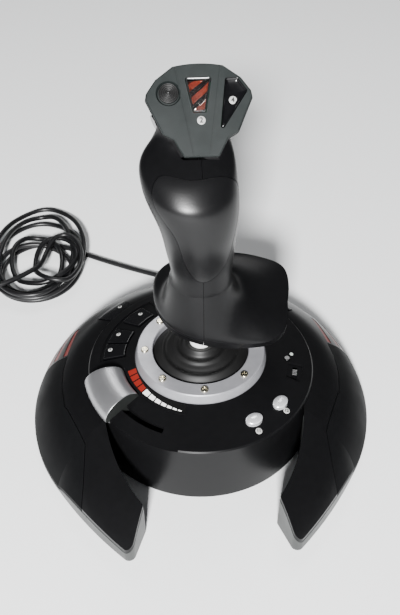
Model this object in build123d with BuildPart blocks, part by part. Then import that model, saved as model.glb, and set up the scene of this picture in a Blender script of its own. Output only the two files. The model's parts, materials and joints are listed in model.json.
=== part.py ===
from build123d import *
import os
from math import atan2, cos, degrees, hypot, pi, radians, sin, tan

os.makedirs("parts", exist_ok=True)

# All sizes in mm. The stick's axis is Z, the desk is z = 0, the user sits on the -Y side.

STANDING = (Align.CENTER, Align.CENTER, Align.MIN)
AHEAD = (Align.MIN, Align.CENTER, Align.CENTER)

# ---- driving dimensions: base ----
RIM_R = 113.7
RIM_END = -34.3
TIP_ARC_R = 263.0
TIP_OUT = (47.9, -118.0)
TIP_IN = (39.5, -96.0)
NOTCH_Y = -38.0
INNER_EDGE = ((62.0, NOTCH_Y), (54.0, -70.5), TIP_IN)
TIP_OUT_FILLET = 4.0
TIP_IN_FILLET = 2.0
SKIN = 3.2
WALL = 2.4
SKIN_INSET = 0.25
TRAY_Z = 1.0
FLOOR_T = 2.6
TRAY_TOP = TRAY_Z + FLOOR_T
STANDOFF = 4.4
BOARD_POSTS = ((-30.0, 37.5), (-30.0, 58.5), (30.0, 37.5), (30.0, 58.5))
TRAY_SCREWS = ((31.5, 86.5), (-31.5, 86.5), (86.0, 3.0), (-86.0, 3.0), (58.0, -88.0), (-58.0, -88.0))
FOOT_R = 6.0
FEET = (
    (60.0, 70.0), (-60.0, 70.0), (92.0, -25.0), (-92.0, -25.0), (53.0, -97.0), (-53.0, -97.0), (0.0, -52.0),
)
RIM_PROFILE = (
    (60, 43.5), (75, 41), (85, 37.5), (93, 32.5), (100, 27),
    (105, 21.5), (109, 15.5), (112, 9.5), (115, 1.0),
)
SEAM_SECTION = (
    (0, 36), (12, 35), (21, 32.5), (30, 28.2), (37, 23.6),
    (43, 18), (47, 13), (50.5, 7.5), (56, -2),
)
SEAM_FROM = (38.0, -62.0)
SEAM_DIR = (44.0, -33.0)
TIP_SECTION = (
    (-26, 35), (-14, 33.5), (-4, 31), (3, 28.3), (9, 25),
    (14, 21.5), (18, 18.3), (22, 14.5), (30, 5),
)
DRUM_R0 = 75.2
DRUM_R1 = 73.4
DRUM_EDGE_Z = 43.6
DRUM_WALL = 2.4
DECK_R0 = 43.0
DECK_Z0 = 51.8
DECK_R1 = 71.4
DECK_Z1 = 44.9
SEAT_Z = 51.0
SEAT_R = 29.0
RING_IN = 31.0
RING_OUT = 41.0
RING_SKIRT = 42.5
RING_TOP = 57.5
RING_SCREW_R = 36.0
RING_SCREWS = 8
SCREW_HEAD_R = 2.5
SCREW_HEAD_T = 1.1
SCREW_R = 1.5
SCREW_LENGTH = 11.0
SLOT_W = 0.7
SCREW_HOLE_R = 1.6
PANEL_GAP = 0.35
GILL_RECESS = 0.35

# ---- driving dimensions: controls of the base ----
DEG_GAP = 0.35
KEY_R = (49.5, 63.5)
KEYS_LEFT = (("key_a", 164.5, 176.5), ("key_b", 150.5, 163.0), ("key_c", 126.5, 143.0))
KEY_RIGHT = ("key_e", 37.0, 53.5)
KEY_OUT_R = (73.5, 86.5)
KEY_OUT_AZ = (126.5, 143.0)
KEY_OUT_AZ_RIGHT = (37.0, 53.5)
KEY_RISE = 1.2
KEY_DROP = 5.0
POCKET_DEPTH = 1.2
OVALS = (("oval_front", 60.6, 298.3), ("oval_rear", 62.0, 318.5))
OVAL_A = 5.6
OVAL_B = 4.1
THROTTLE_AZ = (190.5, 217.0)
THROTTLE_R = (50.6, 76.6)
THROTTLE_TRAVEL = 33.0
TRACK_R = (60.3, 64.3)
STEM_R = (61.0, 63.6)
CARRIER_R = (54.0, 59.5)
CARRIER_Z = (37.0, 39.8)
CARRIER_PAST = (8.0, 36.0)
GUIDE_AZ = (180.0, 286.0)
FIT = 0.05
SCALE_R = (42.9, 49.0)
SCALE_AZ = (192.0, 255.0)
SCALE_T = 0.4
SWITCH_AZ = 345.0
SWITCH_R = 61.7
BOARD_Z = (37.0, 36.0)
BOARD_T = 1.6
MAPPING_AT = (56.0, -5.6)
LIGHT_AT = (59.6, -1.2)

# ---- driving dimensions: gimbal and stick ----
PIVOT_Z = 38.0
FRAME_T = 3.0
FRAME_Z = (3.6, 45.0)
TRUNNION_R = 4.0
ROLL_PIN_R = 3.0
SENSOR_PIN_R = 1.5
YOKE_OUT = (45.0, 40.0)
YOKE_IN = (37.0, 32.0)
YOKE_H = 10.0
SHAFT_R = 5.0
SHAFT_TOP = 128.0
SPIGOT_R = 2.0
COLLAR_R = 7.0
COLLAR_Z = (60.5, 96.0)
BOOT_SPLIT_R = 19.0
BOOT_T = 1.3

# ---- driving dimensions: grip ----
SEAM_X = 0.6
SEAM_GAP = 0.2
GRIP_WALL = 2.6
HEAD_X = 1.0
FACE_EL = 46.0
FACE_ORIGIN = (HEAD_X, 0.0, 199.4)
FACE_T = 2.6
HEAD_DEPTH = 21.0
FACE_HALF = (
    (9.4, 0.0), (14.6, 9.6), (20.0, 12.8), (28.3, 31.0),
    (27.6, 34.6), (22.6, 41.6), (13.4, 48.4),
)
FACE_TOP = 49.8
GRIP_SECTIONS = (
    (117, 0.3, 1.0, 19.0, 19.2),
    (130, 0.4, 0.6, 18.5, 18.6),
    (146, -0.4, -0.6, 20.4, 21.0),
    (160, -1.4, -1.0, 22.4, 23.2),
    (174, -3.8, -0.2, 25.0, 24.2),
    (181, -5.2, 1.3, 25.8, 23.8),
    (187.6, -6.1, 4.8, 26.1, 21.8),
    (193.5, -5.9, 9.8, 25.2, 19.3),
    (198, -4.5, 15.0, 22.5, 15.8),
    (203, -3.0, 19.6, 20.0, 15.2),
    (212, -1.5, 28.0, 17.2, 14.0),
)
REST = (
    (55.6, 8.0), (57.3, 20.4), (55.2, 29.6), (44.0, 36.9), (24.0, 42.1), (3.0, 41.8),
    (-17.4, 37.0), (-26.6, 27.8), (-28.6, 17.0), (-25.6, 1.2), (-19.5, -8.0), (-8.3, -15.9),
    (9.0, -21.2), (31.0, -22.4), (44.6, -19.6), (51.0, -13.4), (54.0, -4.0),
)
REST_TILT = 16.5
REST_Z = 88.0
REST_T = 5.0
REST_STEPS = (
    (110.5, 1.5, 1.2, 0.015), (103.5, 4.5, 2.2, 0.10),
    (97.0, 9.5, 3.0, 0.32), (92.0, 14.0, 3.0, 0.66),
)
PANEL_T = 1.0
PANEL_CENTRE = (0.0, 164.0)
PANEL_OUTLINE = (
    (-24.6, 189.5), (-22.0, 192.4), (-11.0, 193.0), (0.0, 192.4), (14.1, 190.3), (18.6, 186.0),
    (20.2, 176.0), (16.5, 151.5), (11.1, 135.6), (0.2, 128.7), (-10.3, 145.1), (-16.3, 166.3),
)
HAT_AT = (-15.8, 33.9)
HAT_R = 5.2
HAT_DISH_R = 6.6
HAT_DEPTH = 4.4
HAT_PIN_R = 0.7
WINDOW = ((-6.7, 41.6), (6.7, 41.6), (3.2, 23.6), (-3.2, 23.6))
TEAR = ((14.4, 41.0), (20.4, 41.0), (25.2, 34.2), (10.4, 12.7))
TEAR_ROUND = 0.8
BUTTON_GAP = 0.35
BUTTON_DEPTH = 6.0
TRIGGER_PIN = (30.0, 206.0)
TRIGGER_PIN_R = 1.5
TRIGGER_HALF = 8.0
TRIGGER_OUT = (
    (34.0, 210.2), (38.5, 206.5), (42.3, 198.5), (43.4, 190.0), (41.0, 181.0), (36.5, 174.0),
)
TRIGGER_IN = (
    (34.6, 174.6), (37.2, 182.0), (38.0, 190.0), (35.6, 197.0), (27.4, 200.6), (25.6, 207.0), (29.2, 210.8),
)
SHELL_SCREWS = ((8.0, 150.0), (14.0, 182.0), (40.6, 217.8))

# ---- driving dimensions: cord ----
CORD_D = 4.0
GLAND_X = -10.0
GLAND_Z = 7.0
CORD_LEAD = (
    (-10.0, 115.4, 7.0), (-13.4, 124.8, 6.0), (-20.1, 132.2, 4.4), (-29.2, 137.2, 2.9),
    (-46.6, 146.2, 2.1), (-79.0, 163.6, 2.05),
)
CORD_TAIL = ((-141.0, 126.0, 2.05), (-157.0, 118.0, 2.1), (-174.0, 113.0, 2.8), (-190.0, 110.5, 4.0))
COIL_CENTRE = (-125.0, 173.0)
COIL_A = (46.0, 66.0)
COIL_B = (20.0, 38.0)
COIL_TURN = 6.0
COIL_H = 11.0
PLUG_DIR = 188.9
PLUG_BODY = (34.0, 15.6, 7.8)
PLUG_SHELL = (18.5, 12.0, 4.5)


def polar(r, az, z=None):
    p = (r * cos(radians(az)), r * sin(radians(az)))
    return p if z is None else (p[0], p[1], z)


def deck_z(r):
    return DECK_Z0 - (r - DECK_R0) * (DECK_Z0 - DECK_Z1) / (DECK_R1 - DECK_R0)


def save(shape, name):
    part = shape.part if hasattr(shape, "part") else shape
    part.label = name
    export_step(part, "parts/" + name + ".step")
    return part


def sector(r0, r1, az0, az1):
    with BuildSketch() as s:
        with BuildLine():
            outer = CenterArc((0, 0), r1, az0, az1 - az0)
            inner = CenterArc((0, 0), r0, az0, az1 - az0)
            Line(outer @ 0, inner @ 0)
            Line(outer @ 1, inner @ 1)
        make_face()
    return s.sketch


def sector_block(r0, r1, az0, az1, z0, z1):
    with BuildPart() as p:
        with BuildSketch(Plane.XY.offset(z0)):
            add(sector(r0, r1, az0, az1))
        extrude(amount=z1 - z0)
    return p.part


def band(points, az0, az1):
    with BuildPart() as p:
        with BuildSketch(Plane.XZ):
            with BuildLine():
                Polyline(*points, close=True)
            make_face()
        revolve(axis=Axis.Z, revolution_arc=az1 - az0)
    return p.part.rotate(Axis.Z, az0)


def deck_slice(r0, r1, az0, az1, below, above):
    points = (
        (r0, deck_z(r0) - below), (r1, deck_z(r1) - below),
        (r1, deck_z(r1) + above), (r0, deck_z(r0) + above),
    )
    return band(points, az0, az1)


# ---------------- plan of the base ----------------
def wing_plan():
    corner = polar(RIM_R, RIM_END)
    mirror_corner = (-corner[0], corner[1])
    tip_l = (-TIP_OUT[0], TIP_OUT[1])
    with BuildSketch() as s:
        with BuildLine():
            ThreePointArc(corner, (0, RIM_R), mirror_corner)
            RadiusArc(TIP_OUT, corner, -TIP_ARC_R)
            RadiusArc(mirror_corner, tip_l, -TIP_ARC_R)
            ThreePointArc(*INNER_EDGE)
            ThreePointArc(*[(-x, y) for x, y in INNER_EDGE])
            Line(TIP_IN, TIP_OUT)
            Line((-TIP_IN[0], TIP_IN[1]), tip_l)
            Line(INNER_EDGE[0], (-INNER_EDGE[0][0], NOTCH_Y))
        make_face()
        outer = s.vertices().sort_by(Axis.Y)[:2]
        fillet(outer, radius=TIP_OUT_FILLET)
        inner = [v for v in s.vertices() if abs(v.Y - TIP_IN[1]) < 0.5 and abs(abs(v.X) - TIP_IN[0]) < 0.5]
        fillet(inner, radius=TIP_IN_FILLET)
    return s.sketch


def profile_face(plane, points):
    with BuildSketch(plane) as s:
        with BuildLine():
            top = Spline(*points)
            Polyline(top @ 0, (points[0][0], -30), (points[-1][0], -30), top @ 1)
        make_face()
    return s.sketch


def section_plane(origin, direction):
    length = hypot(*direction)
    ux = direction[0] / length
    uy = direction[1] / length
    return Plane(origin=(origin[0], origin[1], 0), x_dir=(ux, uy, 0), z_dir=(uy, -ux, 0))


def cap():
    az = RIM_END
    start = (cos(radians(az)), sin(radians(az)))
    tip_dir = (TIP_OUT[0] - TIP_IN[0], TIP_OUT[1] - TIP_IN[1])
    length = hypot(*tip_dir)
    ahead = (tip_dir[1] / length, -tip_dir[0] / length)
    last = (TIP_IN[0] + 3 * ahead[0], TIP_IN[1] + 3 * ahead[1])
    with BuildPart() as rear:
        with BuildSketch(section_plane((0, 0), start)):
            add(profile_face(Plane.XY, RIM_PROFILE))
        revolve(axis=Axis.Z, revolution_arc=180 - 2 * RIM_END)
    with BuildPart() as front:
        add(profile_face(section_plane((0, 0), start), RIM_PROFILE))
        add(profile_face(section_plane(SEAM_FROM, SEAM_DIR), SEAM_SECTION))
        add(profile_face(section_plane(last, tip_dir), TIP_SECTION))
        loft()
    return rear.part + front.part + mirror(front.part, Plane.YZ)


PLAN = wing_plan()
CAP = cap()
CAP_LOW = CAP.moved(Location((0, 0, -SKIN)))


def plan_block(inset, z0, z1):
    face = PLAN if inset == 0 else offset(PLAN, amount=-inset)
    return extrude(face.moved(Location((0, 0, z0))), amount=z1 - z0, dir=(0, 0, 1))


# ---------------- base: skin, drum, tray ----------------
def panel_plan(gap):
    points = [polar(91.6, az) for az in (13.0, 5.0, -4.0, -15.0)]
    points += [(87.3, -24.8), (76.9, -47.5), (74.2, -54.0), (75.4, -75.0), (77.2, -88.0), (84.0, -104.0)]
    with BuildSketch() as s:
        with BuildLine():
            Polyline(*points, (130, -104), polar(140, 13.0), close=True)
        make_face()
        if gap:
            offset(amount=-gap)
    return s.sketch


def gill_plans(grow):
    rows = (
        ((83.9, 51.8), (86.5, 50.2), (92.8, 23.1), (90.0, 22.4)),
        ((88.3, 56.8), (91.2, 54.9), (100.4, 25.2), (97.5, 24.4)),
        ((92.6, 60.2), (94.9, 58.4), (105.6, 26.7), (102.7, 25.9)),
    )
    with BuildSketch() as s:
        for row in rows:
            with BuildLine():
                Polyline(*row, close=True)
            make_face()
        if grow:
            offset(amount=grow)
    return s.sketch


def tall(face, z0=-5.0, z1=60.0):
    return extrude(face.moved(Location((0, 0, z0))), amount=z1 - z0, dir=(0, 0, 1))


def both_sides(shape):
    return shape + mirror(shape, Plane.YZ)


def drum():
    r_low = DRUM_R0
    outer = (
        (r_low, TRAY_Z), (DRUM_R1, DRUM_EDGE_Z), (DRUM_R1 - 0.7, DRUM_EDGE_Z + 0.9), (DECK_R1, DECK_Z1),
        (DECK_R0, DECK_Z0), (RING_SKIRT + 0.3, SEAT_Z), (SEAT_R, SEAT_Z), (SEAT_R, SEAT_Z - 2.2),
        (DECK_R0, SEAT_Z - 2.4), (DECK_R1 - 2.0, DECK_Z1 - 2.6), (DRUM_R1 - DRUM_WALL, DECK_Z1 - 4.0),
        (r_low - DRUM_WALL, TRAY_Z),
    )
    return band(outer, 0, 360)


def tray_notch():
    return plan_block(-0.3, -1, TRAY_Z + FLOOR_T + 0.3)


def screw_positions(radius=RING_SCREW_R, count=RING_SCREWS):
    return [polar(radius, 360 * i / count) for i in range(count)]


def post(x, y, r, z0, z1):
    with BuildPart() as p:
        with BuildSketch(Plane((x, y, z0))):
            Circle(r)
        extrude(amount=z1 - z0)
    return p.part


def standing_box(length, width, height):
    with BuildPart() as p:
        Box(length, width, height, align=STANDING)
    return p.part


def deck_cuts():
    cuts = []
    for _, az0, az1 in KEYS_LEFT + (KEY_RIGHT,):
        cuts.append(sector_block(KEY_R[0] - 0.4, KEY_R[1] + 0.4, az0 - DEG_GAP, az1 + DEG_GAP, 30, 60))
    cuts.append(deck_slice(KEY_R[0] - 1.6, 66.0, 119.0, 178.3, POCKET_DEPTH, 5))
    cuts.append(deck_slice(KEY_R[0] - 1.6, 66.0, 35.3, 61.0, POCKET_DEPTH, 5))
    for _, r, az in OVALS:
        x, y = polar(r, az)
        cuts.append(Pos(x, y, 30) * Rot(0, 0, az + 90) * oval_block(0.35, 30))
    az0 = THROTTLE_AZ[0] + 5
    az1 = THROTTLE_AZ[1] + THROTTLE_TRAVEL - 5
    cuts.append(sector_block(TRACK_R[0], TRACK_R[1], az0, az1, 30, 60))
    cuts.append(deck_slice(SCALE_R[0], SCALE_R[1], SCALE_AZ[0], SCALE_AZ[1], SCALE_T, 5))
    cuts.append(deck_slice(50.0, 74.5, THROTTLE_AZ[0] - 1.5, SCALE_AZ[1] + 0.5, 1.0, 8))
    cuts.append(deck_slice(57.2, 66.4, 338.5, 351.5, 1.6, 5))
    x, y = polar(SWITCH_R, SWITCH_AZ)
    cuts.append(Pos(x, y, 40) * Rot(0, 0, SWITCH_AZ) * Box(3.4, 9.4, 40))
    cuts.append(post(*MAPPING_AT, 2.3, 30, 60))
    cuts.append(post(*LIGHT_AT, 1.25, 30, 60))
    for x, y in screw_positions():
        cuts.append(post(x, y, SCREW_HOLE_R, 30, 60))
    return cuts


def oval_block(grow, height):
    face = make_face(Ellipse(OVAL_A + grow, OVAL_B + grow).edges())
    return extrude(face, amount=height, dir=(0, 0, 1))


def outer_key_cut(az):
    return sector_block(KEY_OUT_R[0] - 0.4, KEY_OUT_R[1] + 0.4, az[0] - DEG_GAP, az[1] + DEG_GAP, 20, 60)


def base_top():
    skin = skin_layer(0, SKIN, SKIN_INSET)
    keep_out = Cylinder(DRUM_R1 - DRUM_WALL + 0.4, 160)
    skin = skin - keep_out
    panel = tall(panel_plan(0))
    skin = skin - both_sides(panel)
    shell = drum() - tray_notch()
    for x, y in screw_positions():
        shell = shell + post(x, y, 3.4, SEAT_Z - 5.5, SEAT_Z - 1)
    guide_r = CARRIER_R[0] - FIT
    guide_z = CARRIER_Z[0] - 0.4
    guide = ((51.6, guide_z), (guide_r, guide_z), (guide_r, 48.6), (51.6, 48.9))
    shell = shell + band(guide, *GUIDE_AZ)
    body = shell + skin
    for cut in deck_cuts():
        body = body - cut
    body = body - outer_key_cut(KEY_OUT_AZ) - outer_key_cut(KEY_OUT_AZ_RIGHT)
    gills = tall(gill_plans(0.25))
    body = body - both_sides(gills)
    return body


def tray():
    with BuildPart() as p:
        with BuildSketch(Plane.XY.offset(TRAY_Z)):
            add(PLAN)
            Circle(DRUM_R0 - DRUM_WALL - 0.35)
        extrude(amount=FLOOR_T)
    walls = plan_block(0, TRAY_Z, 60) - plan_block(WALL, TRAY_Z - 1, 61)
    walls = (walls & CAP_LOW) - Cylinder(DRUM_R0 + 0.4, 160)
    return p.part + walls


def skin_layer(depth_top, depth_bottom, inset):
    hull = plan_block(inset, -2, 60)
    upper = CAP.moved(Location((0, 0, -depth_top)))
    lower = CAP.moved(Location((0, 0, -depth_bottom)))
    return (upper & hull) - lower - tray_notch()


def side_panel():
    return skin_layer(0, SKIN, SKIN_INSET) & tall(panel_plan(PANEL_GAP))


def gill_insert():
    backing = Polyline((83.4, 53.5), (95.5, 61.5), (103.0, 44.0), (106.6, 27.0), (89.2, 22.3), close=True)
    plate = skin_layer(SKIN + 0.15, SKIN + 1.35, WALL + 0.4) & tall(make_face(backing))
    strips = skin_layer(GILL_RECESS, SKIN + 1.0, WALL + 0.4) & tall(gill_plans(0))
    return plate + strips


def mirrored(shape):
    return mirror(shape, Plane.YZ)


def trim_ring():
    ring = band(
        ((RING_IN, SEAT_Z), (RING_IN, RING_TOP - 0.5), (RING_IN + 0.5, RING_TOP), (RING_OUT - 0.6, RING_TOP),
         (RING_OUT, RING_TOP - 0.5), (RING_SKIRT, SEAT_Z)), 0, 360)
    for x, y in screw_positions():
        ring = ring - post(x, y, SCREW_HOLE_R, 40, 70)
    return ring


def cross_head_screw(head_r, head_t, shank_r, length):
    with BuildPart() as p:
        Cylinder(head_r, head_t, align=STANDING)
        fillet(p.edges().group_by(Axis.Z)[-1], radius=head_t * 0.6)
        with Locations((0, 0, -length)):
            Cylinder(shank_r, length, align=STANDING)
        with Locations((0, 0, head_t)):
            Box(head_r * 1.1, SLOT_W, head_t, mode=Mode.SUBTRACT)
            Box(SLOT_W, head_r * 1.1, head_t, mode=Mode.SUBTRACT)
    return p.part


def ring_screws():
    screw = cross_head_screw(SCREW_HEAD_R, SCREW_HEAD_T, SCREW_R, SCREW_LENGTH)
    return Compound(children=[Pos(x, y, RING_TOP) * screw for x, y in screw_positions()])


def ribbed(points, thick):
    lower = [(r, z - thick) for r, z in reversed(points)]
    return band(list(points) + lower, 0, 360)


def boot():
    outer = (
        (30.9, 53.4), (30.4, 55.2), (29.2, 56.9), (27.6, 57.6), (26.2, 56.8), (25.2, 55.2),
        (24.2, 54.4), (23.2, 55.2), (22.2, 57.2), (20.9, 58.2), (19.8, 57.4), (BOOT_SPLIT_R, 56.2),
    )
    inner = (
        (BOOT_SPLIT_R, 56.2), (18.2, 55.6), (17.2, 56.4), (16.2, 58.4), (15.0, 59.6), (13.8, 59.0),
        (12.9, 57.8), (12.0, 58.0), (11.0, 60.4), (9.8, 62.4), (8.6, 63.6), (COLLAR_R + FIT, 63.9),
    )
    edge = RING_IN - 0.1
    flange = band(((24.0, SEAT_Z), (24.0, SEAT_Z + 1.4), (edge, 53.4), (edge, SEAT_Z)), 0, 360)
    return ribbed(outer, BOOT_T) + flange, ribbed(inner, BOOT_T)


# ---------------- base: controls ----------------
def rounded(shape, radius):
    top = shape.faces().sort_by(Axis.Z)[-1]
    return fillet(top.edges(), radius=radius)


def deck_key(az0, az1):
    return rounded(deck_slice(KEY_R[0], KEY_R[1], az0, az1, KEY_DROP, 0.4), 0.5)


def outer_key(az):
    block = sector_block(KEY_OUT_R[0], KEY_OUT_R[1], az[0], az[1], 20, 60)
    upper = CAP.moved(Location((0, 0, 0.7)))
    lower = CAP.moved(Location((0, 0, -SKIN - 1.5)))
    return (block & upper) - lower


def oval_button(r, az):
    x, y = polar(r, az)
    z = deck_z(r)
    body = Pos(x, y, z - KEY_DROP) * Rot(0, 0, az + 90) * oval_block(0, KEY_DROP + 1.6)
    return rounded(body, 1.1)


def throttle():
    a0, a1 = THROTTLE_AZ
    r0, r1 = THROTTLE_R
    bottom = [(r, deck_z(r) - 0.65) for r in (r0, 73.95)]
    crown = [
        (73.95, 42.4), (75.6, 42.4), (r1, 43.4), (r1, 46.0), (75.0, 49.6),
        (71.6, 52.8), (67.0, 54.9), (61.5, 55.7), (56.5, 54.8), (52.6, 52.6),
    ]
    lever = band(bottom + crown + [(r0, deck_z(r0) + 0.6)], a0, a1)
    mid = (a0 + a1) / 2
    stem = sector_block(STEM_R[0], STEM_R[1], mid - 3.5, mid + 3.5, CARRIER_Z[1] - 0.5, 50.5)
    carrier = sector_block(CARRIER_R[0], STEM_R[1], a0 - CARRIER_PAST[0], a1 + CARRIER_PAST[1], *CARRIER_Z)
    return lever + stem, carrier - stem


def scale_strip():
    return deck_slice(SCALE_R[0] + 0.1, SCALE_R[1] - 0.1, SCALE_AZ[0] + 0.2, SCALE_AZ[1] - 0.2, SCALE_T, 0.0)


def mode_switch():
    x, y = polar(SWITCH_R, SWITCH_AZ)
    z = deck_z(SWITCH_R)
    knob = Pos(0, -2.0, z - 4.0) * Box(2.8, 4.6, 5.2, align=(Align.CENTER, Align.CENTER, Align.MIN))
    for k in (-1.2, 0, 1.2):
        knob = knob - Pos(0, -2.0 + k, z + 1.2) * Box(3.0, 0.5, 0.8)
    return Pos(x, y, 0) * Rot(0, 0, SWITCH_AZ) * knob


def small_button():
    z = deck_z(hypot(*MAPPING_AT))
    return rounded(post(*MAPPING_AT, 2.0, z - 4, z + 0.7), 0.4)


def status_light():
    z = deck_z(hypot(*LIGHT_AT))
    return rounded(post(*LIGHT_AT, 1.2, z - 4, z + 0.4), 0.35)


def key_board(az0, az1, spots, z):
    board = sector_block(48.5, 67.0, az0, az1, z, z + BOARD_T)
    for r, az, top in spots:
        x, y = polar(r, az)
        board = board + Pos(x, y, z + BOARD_T) * Rot(0, 0, az) * standing_box(6, 6, 2.6)
        board = board + post(x, y, 1.6, z + 4, top)
    return board


def board_hangers(angles, z):
    return [post(*polar(66.0, az), 1.8, z + BOARD_T, 44.0) for az in angles]


# ---------------- base: inside ----------------
def gimbal_frame():
    height = FRAME_Z[1] - FRAME_Z[0]
    with BuildPart(Plane((0, 0, FRAME_Z[0]))) as p:
        Box(60, 24, FRAME_T, align=STANDING)
        with Locations((-28, 0, 0), (28, 0, 0)):
            Box(4, 24, height, align=STANDING)
        with Locations((0, 0, PIVOT_Z - FRAME_Z[0])):
            Cylinder(TRUNNION_R + FIT, 80, rotation=(0, 90, 0), mode=Mode.SUBTRACT)
    return p.part


def x_rod(r, x0, x1, y=0.0, z=PIVOT_Z):
    with BuildPart() as p:
        with BuildSketch(Plane(origin=(x0, y, z), z_dir=(1, 0, 0))):
            Circle(r)
        extrude(amount=x1 - x0)
    return p.part


def y_rod(r, y0, y1, x=0.0, z=PIVOT_Z):
    with BuildPart() as p:
        with BuildSketch(Plane(origin=(x, y0, z), z_dir=(0, 1, 0))):
            Circle(r)
        extrude(amount=y1 - y0)
    return p.part


def gimbal_yoke():
    with BuildPart() as p:
        with Locations((0, 0, PIVOT_Z)):
            Box(*YOKE_OUT, YOKE_H)
            Box(*YOKE_IN, YOKE_H, mode=Mode.SUBTRACT)
        add(x_rod(TRUNNION_R, 22, 36.5))
        add(x_rod(TRUNNION_R, -30, -22))
        add(x_rod(SENSOR_PIN_R, -33, -29))
        add(y_rod(ROLL_PIN_R + FIT, -21, 21), mode=Mode.SUBTRACT)
    return p.part


def stick_hub():
    with BuildPart() as p:
        with Locations((0, 0, PIVOT_Z)):
            Box(17, 31.2, 14)
        add(y_rod(ROLL_PIN_R, -20.0, 24.2))
        add(y_rod(SENSOR_PIN_R, -23.5, -19))
        add(post(0, 0, SHAFT_R, PIVOT_Z, PIVOT_Z + 20), mode=Mode.SUBTRACT)
    return p.part


def coil_spring(radius, wire, length, turns):
    path = Helix(pitch=length / turns, height=length, radius=radius)
    with BuildPart() as p:
        with BuildSketch(Plane(origin=path @ 0, z_dir=path % 0)):
            Circle(wire)
        sweep(path=path, is_frenet=True)
    return p.part


def stick_shaft():
    return post(0, 0, SHAFT_R, PIVOT_Z, SHAFT_TOP) + post(0, 0, SPIGOT_R, SHAFT_TOP - 1, SHAFT_TOP + 3.5)


def collar():
    return rounded(post(0, 0, COLLAR_R, *COLLAR_Z), 0.6) - post(0, 0, SHAFT_R, 50, 100)


def main_board():
    chips = (
        (0, 46, 14, 14, 2.2), (-18, 50, 6, 8, 1.8), (18, 44, 5, 5, 1.6),
        (-20, 39, 12, 4, 6.5), (16, 57, 14, 5, 6.5),
    )
    z = TRAY_TOP + STANDOFF
    with BuildPart() as p:
        with Locations((0, 48, z)):
            Box(66, 28, BOARD_T, align=STANDING)
        for x, y in BOARD_POSTS:
            add(post(x, y, 1.6, 0, 30), mode=Mode.SUBTRACT)
        for x, y, length, width, height in chips:
            with Locations((x, y, z + BOARD_T)):
                Box(length, width, height, align=STANDING)
        add(post(-8, 58.5, 3.0, z + BOARD_T, z + 9.6))
    return p.part


# ---------------- outputs ----------------
def base_output():
    top = base_top()
    for x, y in TRAY_SCREWS:
        top = top + (post(x, y, 3.6, TRAY_TOP + 0.1, 60) & CAP_LOW)
        top = top - post(x, y, 1.5, 0, 14)
    hangers = board_hangers((118.5, 147.0), BOARD_Z[0]) + board_hangers((290.0, 308.5, 329.0), BOARD_Z[1])
    for hanger in hangers:
        top = top + hanger
    gland_hole = y_rod(4.2, 100, 120, GLAND_X, GLAND_Z) + y_rod(5.5, 100.8, 104.7, GLAND_X, GLAND_Z)
    top = top - gland_hole
    floor = tray() - gland_hole
    for x, y in BOARD_POSTS:
        pillar = post(x, y, 3.0, TRAY_TOP - 0.2, TRAY_TOP + STANDOFF)
        floor = floor + (pillar - post(x, y, 1.3, TRAY_TOP, 30))
    for x, y in TRAY_SCREWS:
        floor = floor - post(x, y, 1.6, -1, 5) - post(x, y, 2.9, 0, TRAY_Z + 1.4)
    for az in (206.0, 243.0):
        x, y = polar(59.0, az)
        floor = floor + post(x, y, 2.2, TRAY_TOP - 0.2, 32.0)
    save(top, "base_top")
    save(floor, "base_tray")
    panel = side_panel()
    save(panel, "panel_right")
    save(mirrored(panel), "panel_left")
    gills = gill_insert()
    save(gills, "gills_right")
    save(mirrored(gills), "gills_left")
    save(trim_ring(), "trim_ring")
    save(ring_screws(), "ring_screws")
    low, high = boot()
    save(low, "boot_lower")
    save(high, "boot_upper")
    feet = [post(x, y, FOOT_R, 0, TRAY_Z) for x, y in FEET]
    save(Compound(children=feet), "rubber_feet")
    z = TRAY_TOP + STANDOFF + BOARD_T
    screws = [post(x, y, 2.4, z, z + 1.2) + post(x, y, 1.2, z - 5.5, z + 0.5) for x, y in BOARD_POSTS]
    for x, y in TRAY_SCREWS:
        screws.append(post(x, y, 2.6, TRAY_Z + 0.2, TRAY_Z + 1.4) + post(x, y, 1.4, TRAY_Z + 1.3, 13.5))
    save(Compound(children=screws), "case_screws")


def controls_output():
    for name, az0, az1 in KEYS_LEFT + (KEY_RIGHT,):
        save(deck_key(az0, az1), name)
    save(outer_key(KEY_OUT_AZ), "key_d")
    save(outer_key(KEY_OUT_AZ_RIGHT), "key_f")
    for name, r, az in OVALS:
        save(oval_button(r, az), name)
    lever, carrier = throttle()
    save(lever, "throttle_lever")
    save(carrier, "throttle_carrier")
    save(scale_strip(), "throttle_scale")
    save(mode_switch(), "mode_switch")
    save(small_button(), "mapping_button")
    save(status_light(), "status_light")
    left = key_board(117, 178, [(57, 170.5, 41.6), (57, 156.8, 41.6), (56.5, 134.7, 41.7)], BOARD_Z[0])
    spots = [(r, az, top) for (_, r, az), top in zip(OVALS, (41.2, 40.8))]
    right = key_board(288, 352, spots, BOARD_Z[1])
    save(Compound(children=[left, right]), "key_boards")
    pot = sector_block(56.0, 62.0, 202.0, 247.0, 32.0, 36.6)
    save(pot, "throttle_sensor")


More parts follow.
